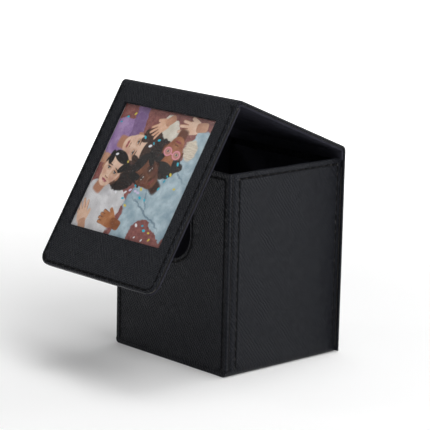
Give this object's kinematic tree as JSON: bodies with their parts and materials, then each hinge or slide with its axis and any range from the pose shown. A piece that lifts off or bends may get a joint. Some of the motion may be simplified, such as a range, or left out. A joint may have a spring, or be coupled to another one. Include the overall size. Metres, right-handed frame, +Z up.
{
  "type": "photo storage box",
  "caption": "Square leather-covered box for instant prints, with a thumb notch in the front wall and a hinged lid whose front flap is a picture frame.",
  "frame": {"origin": "centre of the box's footprint, on the surface that it stands on", "axes": "+X to the right seen from the front, +Y from the front wall to the hinged back, +Z up"},
  "size_m": [0.079, 0.1177, 0.1258],
  "materials": {
    "grained_leather": "black cross-grained leather cloth, satin",
    "suede_lining": "black suede paper, matt",
    "chipboard": "grey-brown chipboard, matt",
    "thread": "black waxed thread",
    "magnet": "nickel-plated disc magnet",
    "clear_film": "clear film, glossy",
    "print_card": "white instant-print border, semi-gloss",
    "print_image": "glossy printed picture of four friends lying head to head"
  },
  "bodies": {
    "box": {"base_board": "chipboard", "left_board": "chipboard", "right_board": "chipboard", "shell_cover": "grained_leather", "left_lining": "suede_lining", "right_lining": "suede_lining", "base_lining": "suede_lining", "side_stitching": "thread", "front_board": "chipboard", "front_cover": "grained_leather", "front_lining": "suede_lining", "front_stitching": "thread", "box_magnets": "magnet", "back_board": "chipboard", "back_lining": "suede_lining", "back_panel_board": "chipboard", "back_panel_cover": "grained_leather", "rear_hinge_strip": "grained_leather"},
    "lid": {"lid_board": "chipboard", "lid_cover": "grained_leather", "lid_lining": "suede_lining", "lid_stitching": "thread", "fold_hinge_strip": "grained_leather"},
    "flap": {"flap_frame_board": "chipboard", "flap_cover": "grained_leather", "window_film": "clear_film", "pocket_spacer": "chipboard", "flap_back_board": "chipboard", "flap_lining": "suede_lining", "flap_magnets": "magnet", "flap_stitching": "thread"},
    "print": {"print_sheet": "print_card", "print_image": "print_image"}
  },
  "joints": [
    {"name": "lid_hinge", "type": "hinge", "parent": "box", "child": "lid", "pos_m": [0, 0.0369, 0.0937], "axis": [-1, 0, 0], "range_deg": [-23.9, 157.5], "deforming": ["rear_hinge_strip"]},
    {"name": "flap_fold", "type": "hinge", "parent": "lid", "child": "flap", "pos_m": [0, -0.03071, 0.12322], "axis": [-1, 0, 0], "range_deg": [-7.5, 81], "deforming": ["fold_hinge_strip"]},
    {"name": "print_slide", "type": "slide", "parent": "flap", "child": "print", "axis": [1, 0, 0], "range_m": [0, 0.08]}
  ]
}
